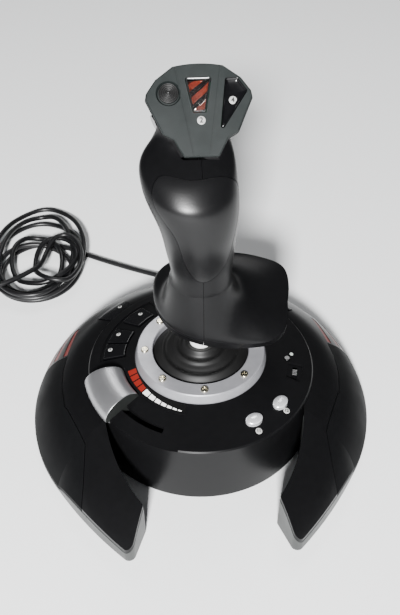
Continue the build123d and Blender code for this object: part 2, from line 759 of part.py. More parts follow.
def gimbal_output():
    save(gimbal_frame(), "gimbal_frame")
    save(gimbal_yoke(), "gimbal_yoke")
    save(stick_hub(), "stick_hub")
    save(stick_shaft(), "stick_shaft")
    save(collar(), "collar")
    pitch = Pos(30.9, 0, PIVOT_Z) * Rot(0, 90, 0) * coil_spring(5.0, 0.5, 4.6, 3)
    save(pitch, "pitch_spring")
    roll = Pos(0, 20.7, PIVOT_Z) * Rot(-90, 0, 0) * coil_spring(4.2, 0.45, 3.0, 2)
    save(roll, "roll_spring")
    sensor = Pos(-34.4, 0, PIVOT_Z) * Box(8.0, 14, 13) - x_rod(SENSOR_PIN_R + FIT, -40, -29)
    save(sensor, "pitch_sensor")
    sensor = Pos(0, -22.7, PIVOT_Z) * Box(12, 5.0, 9.6) - y_rod(SENSOR_PIN_R + FIT, -26, -19)
    save(sensor, "roll_sensor")
    save(main_board(), "main_board")


# ---------------- grip ----------------
FACE_NORMAL = (0, -cos(radians(FACE_EL)), sin(radians(FACE_EL)))
FACE = Plane(origin=FACE_ORIGIN, x_dir=(1, 0, 0), z_dir=FACE_NORMAL)
AZ = [atan2(y, x) for x, y in REST]


def loop_face(plane, points):
    with BuildSketch(plane) as s:
        with BuildLine():
            Spline(*points, periodic=True)
        make_face()
    return s.sketch


def grip_body(inset):
    with BuildPart() as p:
        for z, cx, cy, a, b in GRIP_SECTIONS:
            points = [(cx + (a - inset) * cos(t), cy + (b - inset) * sin(t)) for t in AZ]
            add(loop_face(Plane.XY.offset(z), points))
        loft()
    return p.part


def rest_point(i, f, inset):
    _, cx, cy, a, b = GRIP_SECTIONS[0]
    qx = cx + (a - inset) * cos(AZ[i])
    qy = cy + (b - inset) * sin(AZ[i])
    px, py = REST[i]
    reach = hypot(px, py)
    px = px * (reach - inset) / reach
    py = py * (reach - inset) / reach
    return qx + f * (px - qx), qy + f * (py - qy)


def tilted_plane(z, tilt):
    return Plane(origin=(0, 0, z), x_dir=(1, 0, 0), z_dir=(0, -sin(radians(tilt)), cos(radians(tilt))))


def rest_bell(inset, drop):
    with BuildPart() as p:
        z, cx, cy, a, b = GRIP_SECTIONS[0]
        add(loop_face(Plane.XY.offset(z), [rest_point(i, 0, inset) for i in range(len(REST))]))
        for height, tilt, swell, f in REST_STEPS + ((REST_Z, REST_TILT, 0, 1.0),):
            plane = tilted_plane(height - drop, tilt)
            points = []
            for i in range(len(REST)):
                x, y = rest_point(i, f, inset)
                push = swell / hypot(x, y)
                points.append((x * (1 + push), y * (1 + push) / cos(radians(tilt))))
            add(loop_face(plane, points))
        loft()
    return p.part


def rest_rim(inset, top, bottom):
    plane = tilted_plane(REST_Z, REST_TILT)
    points = [rest_point(i, 1.0, inset) for i in range(len(REST))]
    points = [(x, y / cos(radians(REST_TILT))) for x, y in points]
    face = loop_face(plane.offset(bottom), points)
    return extrude(face, amount=top - bottom, dir=plane.z_dir)


def face_outline(grow=0.0):
    left = [(-u, v) for u, v in reversed(FACE_HALF)]
    with BuildSketch() as s:
        with BuildLine():
            Polyline(*left, *FACE_HALF)
            ThreePointArc(FACE_HALF[-1], (0, FACE_TOP), left[0])
        make_face()
        fillet(s.vertices(), radius=1.6)
        if grow:
            offset(amount=grow)
    return s.sketch


def on_face(sketch, depth_top, depth_bottom, taper=0.0):
    located = FACE.offset(-depth_top).location * sketch
    return extrude(located, amount=depth_bottom - depth_top, dir=(-FACE.z_dir), taper=taper)


def head_block(inset, top):
    return on_face(face_outline(-inset), top, HEAD_DEPTH - inset, taper=7.0)


def slab(z0, z1, half=90.0):
    return Pos(0, 0, z0) * standing_box(2 * half, 2 * half, z1 - z0)


def panel_prism(grow):
    cx, cz = PANEL_CENTRE
    points = []
    for x, z in PANEL_OUTLINE:
        reach = hypot(x - cx, z - cz)
        points.append((x + grow * (x - cx) / reach, z + grow * (z - cz) / reach))
    face = loop_face(Plane.XZ, points)
    return extrude(face, amount=60, dir=(0, -1, 0))


def face_point(u, v, depth):
    p = FACE.offset(-depth).from_local_coords((u, v, 0))
    return p.X, p.Y, p.Z


def face_polygon(points, grow, radius):
    with BuildSketch() as s:
        with BuildLine():
            Polyline(*points, close=True)
        make_face()
        fillet(s.vertices(), radius=radius)
        if grow:
            offset(amount=grow)
    return s.sketch


def face_disc(at, r, depth_top, depth_bottom):
    return on_face(Pos(at[0], at[1]) * Circle(r), depth_top, depth_bottom)


def face_rod(at, along_u, r, start, stop, depth):
    plane = FACE.offset(-depth)
    turn = Rot(0, 90, 0) if along_u else Rot(-90, 0, 0)
    rod = turn * post(0, 0, r, start, stop)
    return plane.location * (Pos(at[0], at[1], 0) * rod)


def face_plate():
    plate = on_face(face_outline(-0.3), 0, FACE_T)
    front = plate.faces().sort_by(SortBy.AREA)[-2:]
    front = [f for f in front if f.normal_at().dot(FACE.z_dir) > 0.9]
    plate = chamfer(front[0].edges(), length=0.6)
    for points in (((-11.9, 47.9), (-4.2, 1.6)), ((11.9, 47.9), (4.2, 1.6))):
        (u0, v0), (u1, v1) = points
        turn = Rot(0, 0, degrees(atan2(v1 - v0, u1 - u0)))
        groove = Pos((u0 + u1) / 2, (v0 + v1) / 2) * (turn * Rectangle(hypot(u1 - u0, v1 - v0), 0.7))
        plate = plate - on_face(groove, -1, 0.6)
    plate = plate - on_face(face_polygon(WINDOW, BUTTON_GAP, 0.8), -2, 4)
    plate = plate - on_face(face_polygon(TEAR, BUTTON_GAP, TEAR_ROUND), -2, 4)
    dish = on_face(Pos(*HAT_AT) * Circle(HAT_DISH_R), 0, 1.7, taper=30)
    plate = plate - dish - face_disc(HAT_AT, 3.3, -1, 4)
    for side in (-1, 1):
        lug = Pos(HAT_AT[0] + side * 6.7, HAT_AT[1]) * Rectangle(1.8, 3.2)
        plate = plate + on_face(lug, FACE_T - 0.1, HAT_DEPTH + 1.4)
    return plate - face_rod(HAT_AT, True, HAT_PIN_R + FIT, -7.0, 7.0, HAT_DEPTH)


def hat():
    ring = face_disc(HAT_AT, 4.6, HAT_DEPTH - 0.6 - 0.2, HAT_DEPTH + 0.8) - face_disc(HAT_AT, 3.0, 0, 9)
    ring = ring - face_rod(HAT_AT, False, HAT_PIN_R + FIT, -5, 5, HAT_DEPTH)
    ring = ring + face_rod(HAT_AT, True, HAT_PIN_R, 4.0, 6.8, HAT_DEPTH)
    ring = ring + face_rod(HAT_AT, True, HAT_PIN_R, -6.8, -4.0, HAT_DEPTH)
    cap = face_disc(HAT_AT, 2.1, 0.0, HAT_DEPTH + 1.0)
    for r, rise in ((HAT_R, 1.2), (4.3, 2.0), (3.2, 2.6), (2.0, 3.0)):
        cap = cap + face_disc(HAT_AT, r, -rise, 0.1)
    cap = cap + face_rod(HAT_AT, False, HAT_PIN_R, -4.5, 4.5, HAT_DEPTH)
    return ring, cap


def window_button():
    lens = on_face(face_polygon(WINDOW, 0, 0.8), -1.1, 0.9, taper=0)
    top = [f for f in lens.faces() if f.normal_at().dot(FACE.z_dir) > 0.9][0]
    lens = fillet(top.edges(), radius=0.7)
    insert = on_face(face_polygon(WINDOW, -0.15, 0.8), 0.9, BUTTON_DEPTH)
    return lens, insert


def tear_button():
    body = on_face(face_polygon(TEAR, 0, TEAR_ROUND), -1.5, BUTTON_DEPTH)
    top = [f for f in body.faces() if f.normal_at().dot(FACE.z_dir) > 0.9][0]
    return fillet(top.edges(), radius=0.9)


SIDE_DIR = (-0.909, -0.4161 * 0.7193, -0.4161 * 0.6947)
SIDE_AT = face_point(-24.2, 22.0, 12.0)
SIDE = Plane(origin=SIDE_AT, x_dir=(0, -0.6947, 0.7193), z_dir=SIDE_DIR)
SIDE_R = (6.2, 4.2)


def side_rod(grow, inner, outer):
    face = SIDE.offset(inner).location * Ellipse(SIDE_R[0] + grow, SIDE_R[1] + grow)
    return extrude(face, amount=outer - inner, dir=SIDE.z_dir)


def trigger_shape():
    with BuildSketch(Plane.YZ) as s:
        with BuildLine():
            outer = Spline(*TRIGGER_OUT)
            inner = Spline(*TRIGGER_IN)
            Line(outer @ 1, inner @ 0)
            Line(inner @ 1, outer @ 0)
        make_face()
    side = s.sketch.moved(Location((HEAD_X - TRIGGER_HALF, 0, 0)))
    return extrude(side, amount=2 * TRIGGER_HALF, dir=(1, 0, 0))


def grip_outer():
    solid = grip_body(0) + rest_bell(0, 0) + rest_rim(0, 0, -REST_T)
    solid = solid - on_face(face_outline(1.2), -30, FACE_T)
    return solid + head_block(0, FACE_T)


def grip_inner():
    core = grip_body(GRIP_WALL) + rest_bell(GRIP_WALL, GRIP_WALL)
    core = core + rest_rim(3.0, -GRIP_WALL, -REST_T - 3.0)
    core = core - on_face(face_outline(1.2), -30, FACE_T)
    return core + head_block(GRIP_WALL, FACE_T - 0.5)


def grip_shell(outer):
    shell = outer - grip_inner()
    low = (slab(88.5, 93.5) & post(0, 0, 20.5, 80, 100)) & outer
    high = slab(120.0, 125.0) & outer
    shell = shell + low + high
    shell = shell - post(0, 0, COLLAR_R + FIT, 80, 100) - post(0, 0, SHAFT_R + FIT, 110, 130)
    for y, z in SHELL_SCREWS:
        shell = shell + (x_rod(3.4, -40, 40, y, z) & outer)
        shell = shell - x_rod(1.5, -14, 40, y, z) - x_rod(3.0, 13.0, 40, y, z)
    slot = Pos(HEAD_X, 41.0, 190.0) * Box(2 * TRIGGER_HALF + 0.8, 34.0, 43.0)
    shell = shell - slot
    for side in (-1, 1):
        middle = HEAD_X + side * 10.4
        shell = shell + (x_rod(4.0, middle - 2, middle + 2, *TRIGGER_PIN) & outer)
    shell = shell - x_rod(TRIGGER_PIN_R, HEAD_X - 12.0, HEAD_X + 12.0, *TRIGGER_PIN)
    shell = shell - side_rod(BUTTON_GAP, -8, 8)
    recess = (outer - grip_body(PANEL_T + 0.05)) & panel_prism(0.25)
    pocket = on_face(face_polygon(TEAR, BUTTON_GAP, TEAR_ROUND), -2, BUTTON_DEPTH + 1.4)
    return shell - recess - pocket


def half_space(side):
    return Pos(SEAM_X + side * (100 + SEAM_GAP / 2), 0, 150) * Box(200, 200, 300)


def largest(shape):
    return shape.solids().sort_by(SortBy.VOLUME)[-1]


def grip_output():
    outer = grip_outer()
    shell = grip_shell(outer)
    left = shell & half_space(-1)
    right = shell & half_space(1)
    print("shell pieces", [round(s.volume) for s in left.solids() + right.solids()])
    save(largest(left), "grip_left_shell")
    save(largest(right), "grip_right_shell")
    panel = (grip_body(0) - grip_body(PANEL_T)) & panel_prism(0)
    save(largest(panel), "palm_panel")
    save(face_plate(), "face_plate")
    ring, cap = hat()
    save(ring, "hat_rocker")
    save(cap, "hat_cap")
    lens, insert = window_button()
    save(lens, "window_lens")
    save(insert, "window_insert")
    save(tear_button(), "button_4")
    save(side_rod(0, -6.1, -0.1), "button_3")
    trigger = trigger_shape() - x_rod(TRIGGER_PIN_R + FIT, -20, 20, *TRIGGER_PIN)
    save(trigger, "trigger")
    save(x_rod(TRIGGER_PIN_R, HEAD_X - 12.0, HEAD_X + 12.0, *TRIGGER_PIN), "trigger_pin")
    board = on_face(Pos(0, 29.0) * Rectangle(26, 27), 9.0, 10.4)
    for u, v in ((0, 32.6), (9.5, 33.0)):
        board = board + on_face(Pos(u, v) * Rectangle(6.0, 6.0), 7.4, 9.1)
    save(board, "grip_board")
    screws = [x_rod(2.8, 13.2, 15.0, y, z) + x_rod(1.4, -12.0, 13.5, y, z) for y, z in SHELL_SCREWS]
    save(Compound(children=screws), "shell_screws")
    sensor = Pos(0, 0, 130.2) * standing_box(16, 14, 7) - post(0, 0, SPIGOT_R + FIT, 120, 133)
    save(sensor, "twist_sensor")
    spring = Pos(0, 0, 98.0) * coil_spring(6.2, 0.6, 12.0, 6)
    save(spring, "twist_spring")


# ---------------- cord ----------------
def corner_radii(points):
    radii = []
    for a, b, c in zip(points, points[1:], points[2:]):
        before = Vector(*b) - Vector(*a)
        after = Vector(*c) - Vector(*b)
        half = radians(before.get_angle(after) / 2)
        radii.append(0.45 * min(before.length, after.length) / tan(half))
    return radii


def cord_tube(points, name):
    radii = corner_radii(points)
    with BuildPart() as p:
        with BuildLine() as path:
            FilletPolyline(*points, radius=radii)
        with BuildSketch(Plane(origin=path.line @ 0, z_dir=path.line % 0)):
            Circle(CORD_D / 2)
        sweep(path=path.line)
    length = path.line.wires()[0].length
    ideal = length * pi * CORD_D ** 2 / 4
    print(name, "radii", [round(r, 1) for r in radii], "length", round(length, 1))
    print(name, "volume", round(p.part.volume), "of", round(ideal))
    save(p.part, name)


def cord_output():
    gland = y_rod(4.1, 104.0, 113.9, GLAND_X, GLAND_Z) + y_rod(5.4, 101.0, 104.5, GLAND_X, GLAND_Z)
    gland = gland + Pos(GLAND_X, 113.8, GLAND_Z) * Rot(-90, 0, 0) * Cone(3.9, 2.9, 1.6, align=STANDING)
    save(gland, "cord_gland")
    cord_tube(CORD_LEAD, "cord_lead")
    cord_tube(CORD_TAIL, "cord_tail")
    outer = extrude(Ellipse(*COIL_A), amount=COIL_H)
    coil = outer - Pos(2, -4, -1) * extrude(Ellipse(*COIL_B), amount=COIL_H + 2)
    coil = fillet(coil.edges().group_by(Axis.Z)[-1], radius=3.5)
    save(Pos(*COIL_CENTRE, 0) * Rot(0, 0, COIL_TURN) * coil, "cord_coil")
    x, y, z = CORD_TAIL[-1]
    place = Pos(x, y, z) * Rot(0, 0, PLUG_DIR)
    relief = Rot(0, 90, 0) * Cone(2.7, 3.8, 9.0, align=STANDING)
    body = Pos(8.5, 0, 0) * Box(*PLUG_BODY, align=AHEAD)
    body = fillet(body.edges().filter_by(Axis.X), radius=2.2)
    length, width, height = PLUG_SHELL
    mouth = 8.5 + PLUG_BODY[0]
    metal = Pos(mouth, 0, 0) * Box(length, width, height, align=AHEAD)
    cavity = Pos(mouth - 1.0, 0, 0) * Box(length + 2.0, width - 0.8, height - 0.8, align=AHEAD)
    tongue = Pos(mouth - 0.5, 0, 0.85) * Box(length - 1.0, width - 0.9, 1.8, align=AHEAD)
    save(place * (body + relief + tongue), "usb_overmould")
    save(place * (metal - cavity), "usb_shell")


base_output()
controls_output()
gimbal_output()
grip_output()
cord_output()
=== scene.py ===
import json
from math import cos, pi, radians, sin

import bpy
import numpy as np
from mathutils import Matrix, Vector


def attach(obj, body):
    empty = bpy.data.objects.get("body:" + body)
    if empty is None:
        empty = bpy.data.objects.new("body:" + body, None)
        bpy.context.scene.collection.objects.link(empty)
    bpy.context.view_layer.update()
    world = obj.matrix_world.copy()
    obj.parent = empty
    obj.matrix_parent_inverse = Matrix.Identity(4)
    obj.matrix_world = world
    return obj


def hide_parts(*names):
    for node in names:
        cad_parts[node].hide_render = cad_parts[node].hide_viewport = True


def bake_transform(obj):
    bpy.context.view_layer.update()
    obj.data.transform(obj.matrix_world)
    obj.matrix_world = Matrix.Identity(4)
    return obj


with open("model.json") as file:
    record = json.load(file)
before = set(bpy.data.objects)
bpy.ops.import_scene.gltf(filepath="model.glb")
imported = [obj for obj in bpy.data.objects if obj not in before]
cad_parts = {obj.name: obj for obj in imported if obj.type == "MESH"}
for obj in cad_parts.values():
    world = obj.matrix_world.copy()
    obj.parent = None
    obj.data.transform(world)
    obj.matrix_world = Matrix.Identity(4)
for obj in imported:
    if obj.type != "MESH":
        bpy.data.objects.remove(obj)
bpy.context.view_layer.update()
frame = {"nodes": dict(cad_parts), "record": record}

# Metres throughout, unless a value is said to be in millimetres, in the CAD's own frame: Z is the stick's
# axis, the floor is z = 0, and the user is on the -Y side.
MM = 0.001
NODES = frame["nodes"]

# ---- camera ----
CAMERA_AT = (-0.0226, -0.3384, 0.4124)
CAMERA_AIM = (-0.00032, 0.0, 0.0926)
CAMERA_ROLL = -0.18
LENS_MM = 44.49

# ---- head of the grip: its plane in metres, and places on it in millimetres ----
FACE_ORIGIN = Vector((0.001, 0.0, 0.1994))
FACE_EL = radians(46.0)
FACE_UP = Vector((0, sin(FACE_EL), cos(FACE_EL)))
FACE_NORMAL = Vector((0, -cos(FACE_EL), sin(FACE_EL)))
HAT_AT = (-15.8, 33.9)
HAT_R = 5.2
HAT_STEPS = 4
HAT_STEP_IN = 1.08
HAT_STEP_UP = 0.42
HAT_STEM_R = 2.1
WINDOW = ((-6.7, 41.6), (6.7, 41.6), (3.2, 23.6), (-3.2, 23.6))
TEAR = ((14.4, 41.0), (20.4, 41.0), (25.2, 34.2), (10.4, 12.7))

# ---- oval buttons: how far out (mm) and at what angle each stands, and its half axes (mm) ----
OVALS = (("oval_front", 60.6, 298.3), ("oval_rear", 62.0, 318.5))
OVAL_A = 5.6
OVAL_B = 4.1


# ---- pieces whose plastic is duller than their slot's ----
DULL_PIECES = ("panel_left", "panel_right")

# ---- throttle lever: the angles it spans, and its section out from the stick's axis and up (mm) ----
LEVER_AZ = (190.5, 217.0)
LEVER_SECTION = (
    (50.6, 41.7), (50.6, 45.0), (51.2, 50.6), (52.6, 52.8), (56.5, 54.9), (61.5, 55.8), (67.0, 55.0),
    (71.6, 52.9), (75.0, 49.7), (76.6, 46.2), (76.6, 43.4), (75.9, 42.4), (73.9, 42.3), (73.9, 38.6),
    (62.0, 40.4),
)

# ---- cord ----
CORD_D = 0.004
CORD_LEAD = (
    (-0.0100, 0.1154, 0.0070), (-0.0134, 0.1248, 0.0060), (-0.0201, 0.1322, 0.0044),
    (-0.0292, 0.1372, 0.0029), (-0.0466, 0.1462, 0.0021), (-0.0790, 0.1636, 0.00205),
)
CORD_TAIL = ((-0.1570, 0.1180, 0.0021), (-0.1740, 0.1130, 0.0028), (-0.1900, 0.1105, 0.0040))
FLOOR_LAY = 0.00205
# Each turn of the coil: its middle, its half widths in x and y (mm), and how much its far end narrows.
COIL_TURNS = (
    (-122.3, 151.7, 31.7, 33.7, -0.03), (-127.1, 148.0, 31.2, 32.0, 0.02),
    (-125.8, 162.0, 39.0, 52.8, 0.09), (-125.9, 173.9, 40.0, 64.0, 0.14),
    (-128.0, 166.2, 31.6, 58.4, 0.09), (-129.0, 154.7, 24.0, 33.8, -0.02),
    (-110.9, 154.0, 20.0, 28.1, -0.02), (-104.0, 149.5, 16.5, 31.3, -0.02),
)
COIL_START = 60.0
COIL_STEPS = 12
COIL_EXIT = ((-0.1305, 0.1320, FLOOR_LAY), (-0.1430, 0.1236, FLOOR_LAY))
SETTLE_ROUNDS = 60
SETTLE_CLEAR = 1.06 * CORD_D
SETTLE_SHORT = 0.02 * MM
SETTLE_SHARE = 0.6
NEIGHBOURS = 24

# ---- strain relief where the cord leaves the base ----
RELIEF_LENGTH = 0.015
RELIEF_RINGS = 31
RELIEF_SIDES = 24
RELIEF_R = 3.3
RELIEF_TAPER = 0.95
RELIEF_GROOVE = 0.35

# ---- number discs (mm) ----
DISC_T = 0.22
DISC_EDGE = 0.16
DISC_SUNK = 0.05


# ---------------- camera ----------------
def add_camera():
    data = bpy.data.cameras.new("camera")
    data.lens = LENS_MM
    data.clip_start = 0.01
    camera = bpy.data.objects.new("camera", data)
    bpy.context.scene.collection.objects.link(camera)
    aim = Vector(CAMERA_AIM) - Vector(CAMERA_AT)
    turn = aim.to_track_quat("-Z", "Y").to_matrix().to_4x4()
    camera.matrix_world = Matrix.Translation(CAMERA_AT) @ turn @ Matrix.Rotation(radians(CAMERA_ROLL), 4, "Z")
    bpy.context.scene.camera = camera


add_camera()


# ---------------- cord ----------------
def coil_points():
    """Loose turns, each an uneven ring of its own size and place, one running into the next."""
    points = []
    whole = (len(COIL_TURNS) - 1) * COIL_STEPS
    for i in range(whole + COIL_STEPS // 3 + 1):
        turn = min(i // COIL_STEPS, len(COIL_TURNS) - 2)
        part = min(i / COIL_STEPS - turn, 1.0)
        ease = part * part * (3 - 2 * part)
        sizes = [(1 - ease) * p + ease * q for p, q in zip(COIL_TURNS[turn], COIL_TURNS[turn + 1])]
        x, y, across, along, egg = sizes
        angle = radians(COIL_START + 360 * i / COIL_STEPS)
        reach = across * cos(angle) * (1 - egg * sin(angle))
        points.append(((x + reach) * MM, (y + along * sin(angle)) * MM, FLOOR_LAY))
    x, y, across, _, _ = COIL_TURNS[-1]
    points.append(((x - across - 1.5) * MM, (y - 10) * MM, FLOOR_LAY))
    return [*points, *COIL_EXIT]


def nurbs(name, points):
    data = bpy.data.curves.new(name, "CURVE")
    data.dimensions = "3D"
    data.resolution_u = 8
    spline = data.splines.new("NURBS")
    spline.points.add(len(points) - 1)
    for slot, point in zip(spline.points, points):
        slot.co = (*point, 1.0)
    spline.order_u = 3
    spline.use_endpoint_u = True
    obj = bpy.data.objects.new(name, data)
    bpy.context.scene.collection.objects.link(obj)
    return obj


def centreline(curve):
    bpy.context.view_layer.update()
    mesh = bpy.data.meshes.new_from_object(curve)
    line = np.array([v.co for v in mesh.vertices], float)
    bpy.data.meshes.remove(mesh)
    return line


def settle(curve):
    """Each turn lies on the ones laid before it: its points rise until nothing touches."""
    points = curve.data.splines[0].points
    for _ in range(SETTLE_ROUNDS):
        line = centreline(curve)
        flat = line[:, :2]
        apart = ((flat[:, None] - flat[None]) ** 2).sum(-1)
        under, over = np.nonzero(apart < SETTLE_CLEAR ** 2)
        far = over - under > NEIGHBOURS
        under = under[far]
        over = over[far]
        rise = np.sqrt(SETTLE_CLEAR ** 2 - apart[under, over]) - (line[over, 2] - line[under, 2])
        short = rise > SETTLE_SHORT
        if not short.any():
            break
        lift = np.zeros(len(points) + 1)
        share = (len(points) - 2) / (len(line) - 1)
        nearest = (over[short] * share + 0.5).astype(int)
        np.maximum.at(lift, nearest, SETTLE_SHARE * rise[short])
        np.maximum.at(lift, nearest + 1, SETTLE_SHARE * rise[short])
        for point, up in zip(points, lift):
            point.co.z += up


def reach_along(line):
    """How far along a line each of its points lies."""
    return np.concatenate([[0], np.cumsum(np.linalg.norm(np.diff(line, axis=0), axis=1))])


def add_cord():
    curve = nurbs("cord", [*CORD_LEAD, *coil_points(), *CORD_TAIL])
    settle(curve)
    line = centreline(curve)
    curve.data.bevel_depth = CORD_D / 2
    curve.data.bevel_resolution = 4
    curve.data.use_fill_caps = True
    return curve, line


cord, cord_line = add_cord()


# ---------------- materials ----------------
def shader_of(name, colour, rough, metallic=0.0):
    material = bpy.data.materials.new(name)
    material.use_nodes = True
    shader = material.node_tree.nodes["Principled BSDF"]
    shader.inputs["Base Color"].default_value = (*colour, 1.0)
    shader.inputs["Roughness"].default_value = rough
    shader.inputs["Metallic"].default_value = metallic
    return material, shader


def noise(tree, size, detail=3.0):
    place = tree.nodes.new("ShaderNodeTexCoord")
    texture = tree.nodes.new("ShaderNodeTexNoise")
    texture.inputs["Scale"].default_value = 1.0 / size
    texture.inputs["Detail"].default_value = detail
    tree.links.new(place.outputs["Object"], texture.inputs["Vector"])
    return texture.outputs["Fac"]


def spread(tree, value, low, high):
    node = tree.nodes.new("ShaderNodeMapRange")
    node.inputs["From Min"].default_value = 0.3
    node.inputs["From Max"].default_value = 0.7
    node.inputs["To Min"].default_value = low
    node.inputs["To Max"].default_value = high
    tree.links.new(value, node.inputs["Value"])
    return node.outputs["Result"]


def add_grain(material, shader, size, depth):
    tree = material.node_tree
    bump = tree.nodes.new("ShaderNodeBump")
    bump.inputs["Distance"].default_value = depth
    bump.inputs["Strength"].default_value = 1.0
    tree.links.new(noise(tree, size, 4.0), bump.inputs["Height"])
    tree.links.new(bump.outputs["Normal"], shader.inputs["Normal"])


def add_smudges(material, shader, rough, amount, size=0.018):
    tree = material.node_tree
    value = spread(tree, noise(tree, size, 6.0), rough - amount, rough + amount)
    tree.links.new(value, shader.inputs["Roughness"])


def add_mottle(material, shader, colour, amount, size):
    tree = material.node_tree
    mix = tree.nodes.new("ShaderNodeMix")
    mix.data_type = "RGBA"
    mix.inputs[6].default_value = (*[c * (1 - amount) for c in colour], 1.0)
    mix.inputs[7].default_value = (*[min(1.0, c * (1 + amount)) for c in colour], 1.0)
    tree.links.new(spread(tree, noise(tree, size, 5.0), 0.0, 1.0), mix.inputs[0])
    tree.links.new(mix.outputs[2], shader.inputs["Base Color"])


def plastic(
    name, colour, rough, grain=0.0005, depth=0.00001,
    smudge=0.06, mottle=0.10, coat=0.0, metallic=0.0, gloss=0.5,
):
    """Moulded or painted plastic: a fine grain, uneven sheen and slightly uneven colour."""
    material, shader = shader_of(name, colour, rough, metallic)
    shader.inputs["Specular IOR Level"].default_value = gloss
    if depth:
        add_grain(material, shader, grain, depth)
    add_smudges(material, shader, rough, smudge)
    add_mottle(material, shader, colour, mottle, 0.004)
    shader.inputs["Coat Weight"].default_value = coat
    shader.inputs["Coat Roughness"].default_value = 0.08
    return material


def clear(name, tint):
    material, shader = shader_of(name, tint, 0.03)
    shader.inputs["Transmission Weight"].default_value = 1.0
    shader.inputs["IOR"].default_value = 1.45
    add_smudges(material, shader, 0.05, 0.03)
    return material


def brushed(name, colour, rough, across):
    """Metal with fine turned or drawn lines, closer together along one axis than the others."""
    material, shader = shader_of(name, colour, rough, 1.0)
    tree = material.node_tree
    place = tree.nodes.new("ShaderNodeTexCoord")
    stretch = tree.nodes.new("ShaderNodeMapping")
    stretch.inputs["Scale"].default_value = across
    texture = tree.nodes.new("ShaderNodeTexNoise")
    texture.inputs["Scale"].default_value = 300.0
    tree.links.new(place.outputs["Object"], stretch.inputs["Vector"])
    tree.links.new(stretch.outputs["Vector"], texture.inputs["Vector"])
    value = spread(tree, texture.outputs["Fac"], rough - 0.1, rough + 0.12)
    tree.links.new(value, shader.inputs["Roughness"])
    return material


def striped(name, first, second, pitch, lean):
    """Diagonal bands on a face that lies in the head's plane."""
    material, shader = shader_of(name, first, 0.35)
    tree = material.node_tree
    across = (FACE_UP * cos(lean) - Vector((1, 0, 0)) * sin(lean)) / pitch
    place = tree.nodes.new("ShaderNodeTexCoord")
    dot = tree.nodes.new("ShaderNodeVectorMath")
    dot.operation = "DOT_PRODUCT"
    dot.inputs[1].default_value = across
    share = tree.nodes.new("ShaderNodeMath")
    share.operation = "FRACT"
    step = tree.nodes.new("ShaderNodeMath")
    step.operation = "GREATER_THAN"
    step.inputs[1].default_value = 0.48
    mix = tree.nodes.new("ShaderNodeMix")
    mix.data_type = "RGBA"
    mix.inputs[6].default_value = (*first, 1.0)
    mix.inputs[7].default_value = (*second, 1.0)
    tree.links.new(place.outputs["Object"], dot.inputs[0])
    tree.links.new(dot.outputs["Value"], share.inputs[0])
    tree.links.new(share.outputs["Value"], step.inputs[0])
    tree.links.new(step.outputs["Value"], mix.inputs[0])
    tree.links.new(mix.outputs[2], shader.inputs["Base Color"])
    return material


def add_painted_end_shade(material, toward, colour):
    """Painted shade: darkens the faces of a piece that look one way, standing in for the shade they lie in.
    """
    tree = material.node_tree
    shader = tree.nodes["Principled BSDF"]
    before = shader.inputs["Base Color"].links[0].from_socket
    place = tree.nodes.new("ShaderNodeTexCoord")
    dot = tree.nodes.new("ShaderNodeVectorMath")
    dot.operation = "DOT_PRODUCT"
    dot.inputs[1].default_value = toward
    edge = tree.nodes.new("ShaderNodeMapRange")
    edge.inputs["From Min"].default_value = 0.55
    edge.inputs["From Max"].default_value = 0.80
    mix = tree.nodes.new("ShaderNodeMix")
    mix.data_type = "RGBA"
    mix.inputs[7].default_value = (*colour, 1.0)
    tree.links.new(place.outputs["Normal"], dot.inputs[0])
    tree.links.new(dot.outputs["Value"], edge.inputs["Value"])
    tree.links.new(edge.outputs["Result"], mix.inputs[0])
    tree.links.new(before, mix.inputs[6])
    tree.links.new(mix.outputs[2], shader.inputs["Base Color"])


MATERIALS = {}


def add_material(make, name, *values, **more):
    MATERIALS[name] = make(name, *values, **more)


add_material(
    plastic, "black_plastic", (0.0030, 0.0030, 0.0033), 0.31, 0.0006, 0.000005, smudge=0.015, gloss=0.16,
)
add_material(plastic, "silver_grey_plastic", (0.018, 0.0195, 0.019), 0.42, 0.0006, 0.00001)
add_material(
    plastic, "panel_black", (0.0032, 0.0032, 0.0035), 0.33, 0.0008, 0.00002, smudge=0.015, gloss=0.27,
)
add_material(plastic, "deck_black", (0.0034, 0.0035, 0.0038), 0.50, 0.0006, 0.000010, gloss=0.03)
add_material(plastic, "face_grey", (0.0095, 0.0118, 0.0116), 0.44, 0.0005, 0.00002, gloss=0.22)
add_material(
    plastic, "gloss_black", (0.0022, 0.0022, 0.0026), 0.18, depth=0, smudge=0.04, coat=0.2, gloss=0.4,
)
add_material(plastic, "red_plastic", (0.130, 0.012, 0.009), 0.44, 0.0006, 0.00001)
add_material(plastic, "red_print", (0.150, 0.010, 0.006), 0.34, depth=0, mottle=0.05, gloss=0.3)
add_material(plastic, "white_print", (0.74, 0.74, 0.72), 0.38, depth=0, mottle=0.04, gloss=0.3)
add_material(plastic, "disc_print", (0.33, 0.33, 0.32), 0.42, depth=0, mottle=0.06, gloss=0.3)
add_material(plastic, "dark_print", (0.012, 0.012, 0.012), 0.42, depth=0, mottle=0.04, gloss=0.3)
add_material(plastic, "film_black", (0.004, 0.004, 0.004), 0.26, depth=0, mottle=0.05, gloss=0.3)
add_material(striped, "stripe_insert", (0.006, 0.005, 0.005), (0.21, 0.026, 0.010), 0.0062, radians(38))
add_material(clear, "clear_lens", (1.0, 1.0, 1.0))
add_material(
    plastic, "silver_paint", (0.34, 0.34, 0.35), 0.36, depth=0, smudge=0.02, mottle=0.02, metallic=0.85,
)
add_material(plastic, "ring_metal", (0.30, 0.30, 0.32), 0.38, 0.0002, 0.000004, mottle=0.05, metallic=0.5)
add_material(
    plastic, "oval_silver", (0.72, 0.72, 0.74), 0.24, depth=0, smudge=0.04, mottle=0.03, metallic=0.6,
)
add_material(plastic, "collar_white", (0.76, 0.76, 0.74), 0.42, 0.0006, 0.00001)
